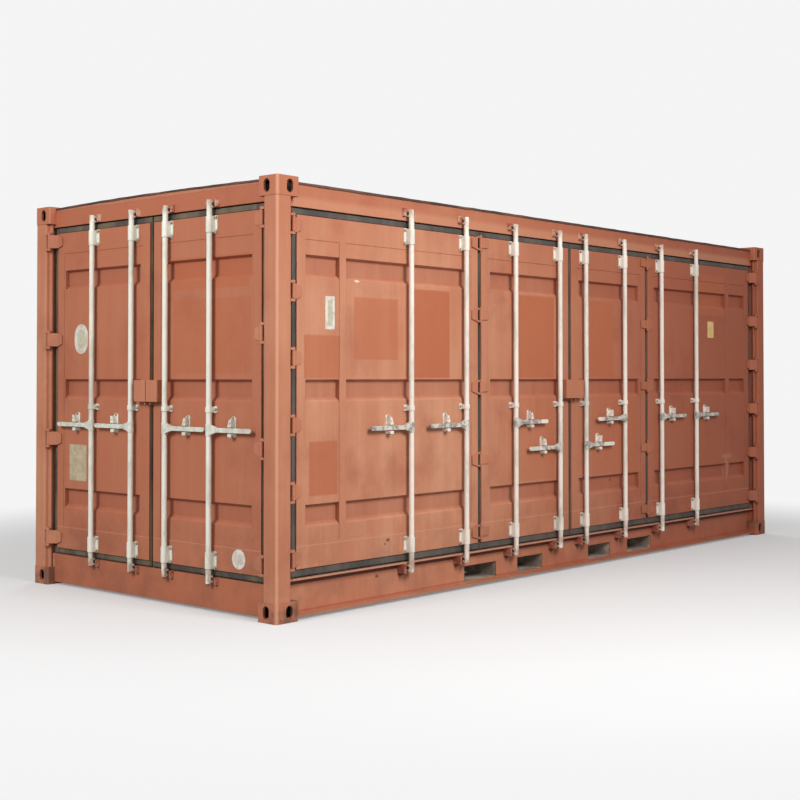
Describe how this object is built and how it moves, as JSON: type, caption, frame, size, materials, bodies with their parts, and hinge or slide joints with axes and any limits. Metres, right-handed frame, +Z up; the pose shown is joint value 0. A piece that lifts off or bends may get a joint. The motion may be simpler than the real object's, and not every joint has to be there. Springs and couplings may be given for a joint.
{
  "type": "side access shipping container",
  "caption": "Shipping container with hinged end doors, folding side doors, locking bars, forklift pockets and corner castings.",
  "frame": {"origin": "middle of the footprint, at the level of the bottom castings", "axes": "+X along the length away from the end doors, +Z up, the folding doors face -Y"},
  "size_m": [6.058, 2.438, 2.591],
  "materials": {
    "painted_steel": "matt",
    "cast_corner": "matt",
    "bar_paint": "satin",
    "seal_rubber": "matt",
    "floor_wood": "worn"
  },
  "bodies": {
    "root": {"bottom_corner_castings": "cast_corner", "top_corner_castings": "cast_corner", "rear_posts": "painted_steel", "front_posts": "painted_steel", "door_header": "painted_steel", "door_sill": "painted_steel", "front_end_rails": "painted_steel", "front_wall": "painted_steel", "left_wall": "painted_steel", "top_side_rails": "painted_steel", "left_bottom_rail": "painted_steel", "right_bottom_rail": "painted_steel", "roof": "painted_steel", "roof_end_plates": "painted_steel", "floor": "floor_wood", "cross_members": "painted_steel", "fork_pockets": "painted_steel", "side_leaf_1": "painted_steel", "side_leaf_2": "painted_steel", "side_leaf_3": "painted_steel", "side_leaf_4": "painted_steel", "side_door_seals": "seal_rubber", "side_door_hinges": "painted_steel", "side_bar_fittings": "bar_paint", "side_lock_box": "painted_steel", "cam_keepers": "painted_steel"},
    "right_door": {"right_door_leaf": "painted_steel", "right_door_seal": "seal_rubber", "right_door_hinges": "painted_steel", "right_door_fittings": "bar_paint", "right_door_lock_box": "painted_steel"},
    "left_door": {"left_door_leaf": "painted_steel", "left_door_seal": "seal_rubber", "left_door_hinges": "painted_steel", "left_door_fittings": "bar_paint", "left_door_lock_box": "painted_steel"},
    "right_door_bar_outer": {"right_door_bar_outer": "bar_paint"},
    "right_door_bar_inner": {"right_door_bar_inner": "bar_paint"},
    "left_door_bar_outer": {"left_door_bar_outer": "bar_paint"},
    "left_door_bar_inner": {"left_door_bar_inner": "bar_paint"},
    "side_bar_1": {"side_bar_1": "bar_paint"},
    "side_bar_2": {"side_bar_2": "bar_paint"},
    "side_bar_3": {"side_bar_3": "bar_paint"},
    "side_bar_4": {"side_bar_4": "bar_paint"},
    "side_bar_5": {"side_bar_5": "bar_paint"},
    "side_bar_6": {"side_bar_6": "bar_paint"},
    "side_bar_7": {"side_bar_7": "bar_paint"},
    "side_bar_8": {"side_bar_8": "bar_paint"}
  },
  "joints": [
    {"name": "right_door_swing", "type": "hinge", "parent": "root", "child": "right_door", "pos_m": [-3.016, -1.076, 1.3], "axis": [0, 0, 1], "range_deg": [0, 170]},
    {"name": "left_door_swing", "type": "hinge", "parent": "root", "child": "left_door", "pos_m": [-3.016, 1.076, 1.3], "axis": [0, 0, -1], "range_deg": [0, 170]},
    {"name": "right_door_bar_outer_turn", "type": "hinge", "parent": "right_door", "child": "right_door_bar_outer", "pos_m": [-3.007, -0.597, 1.3], "axis": [0, 0, -1], "range_deg": [0, 105]},
    {"name": "right_door_bar_inner_turn", "type": "hinge", "parent": "right_door", "child": "right_door_bar_inner", "pos_m": [-3.007, -0.173, 1.3], "axis": [0, 0, -1], "range_deg": [0, 105]},
    {"name": "left_door_bar_outer_turn", "type": "hinge", "parent": "left_door", "child": "left_door_bar_outer", "pos_m": [-3.007, 0.597, 1.3], "axis": [0, 0, 1], "range_deg": [0, 105]},
    {"name": "left_door_bar_inner_turn", "type": "hinge", "parent": "left_door", "child": "left_door_bar_inner", "pos_m": [-3.007, 0.173, 1.3], "axis": [0, 0, 1], "range_deg": [0, 105]},
    {"name": "side_bar_1_turn", "type": "hinge", "parent": "root", "child": "side_bar_1", "pos_m": [-1.829, -1.197, 1.3], "axis": [0, 0, 1], "range_deg": [0, 105]},
    {"name": "side_bar_2_turn", "type": "hinge", "parent": "root", "child": "side_bar_2", "pos_m": [-1.266, -1.197, 1.3], "axis": [0, 0, 1], "range_deg": [0, 105]},
    {"name": "side_bar_3_turn", "type": "hinge", "parent": "root", "child": "side_bar_3", "pos_m": [-0.711, -1.197, 1.3], "axis": [0, 0, -1], "range_deg": [0, 105]},
    {"name": "side_bar_4_turn", "type": "hinge", "parent": "root", "child": "side_bar_4", "pos_m": [-0.17, -1.197, 1.3], "axis": [0, 0, 1], "range_deg": [0, 105]},
    {"name": "side_bar_5_turn", "type": "hinge", "parent": "root", "child": "side_bar_5", "pos_m": [0.17, -1.197, 1.3], "axis": [0, 0, -1], "range_deg": [0, 105]},
    {"name": "side_bar_6_turn", "type": "hinge", "parent": "root", "child": "side_bar_6", "pos_m": [0.711, -1.197, 1.3], "axis": [0, 0, 1], "range_deg": [0, 105]},
    {"name": "side_bar_7_turn", "type": "hinge", "parent": "root", "child": "side_bar_7", "pos_m": [1.266, -1.197, 1.3], "axis": [0, 0, -1], "range_deg": [0, 105]},
    {"name": "side_bar_8_turn", "type": "hinge", "parent": "root", "child": "side_bar_8", "pos_m": [1.829, -1.197, 1.3], "axis": [0, 0, -1], "range_deg": [0, 105]}
  ]
}
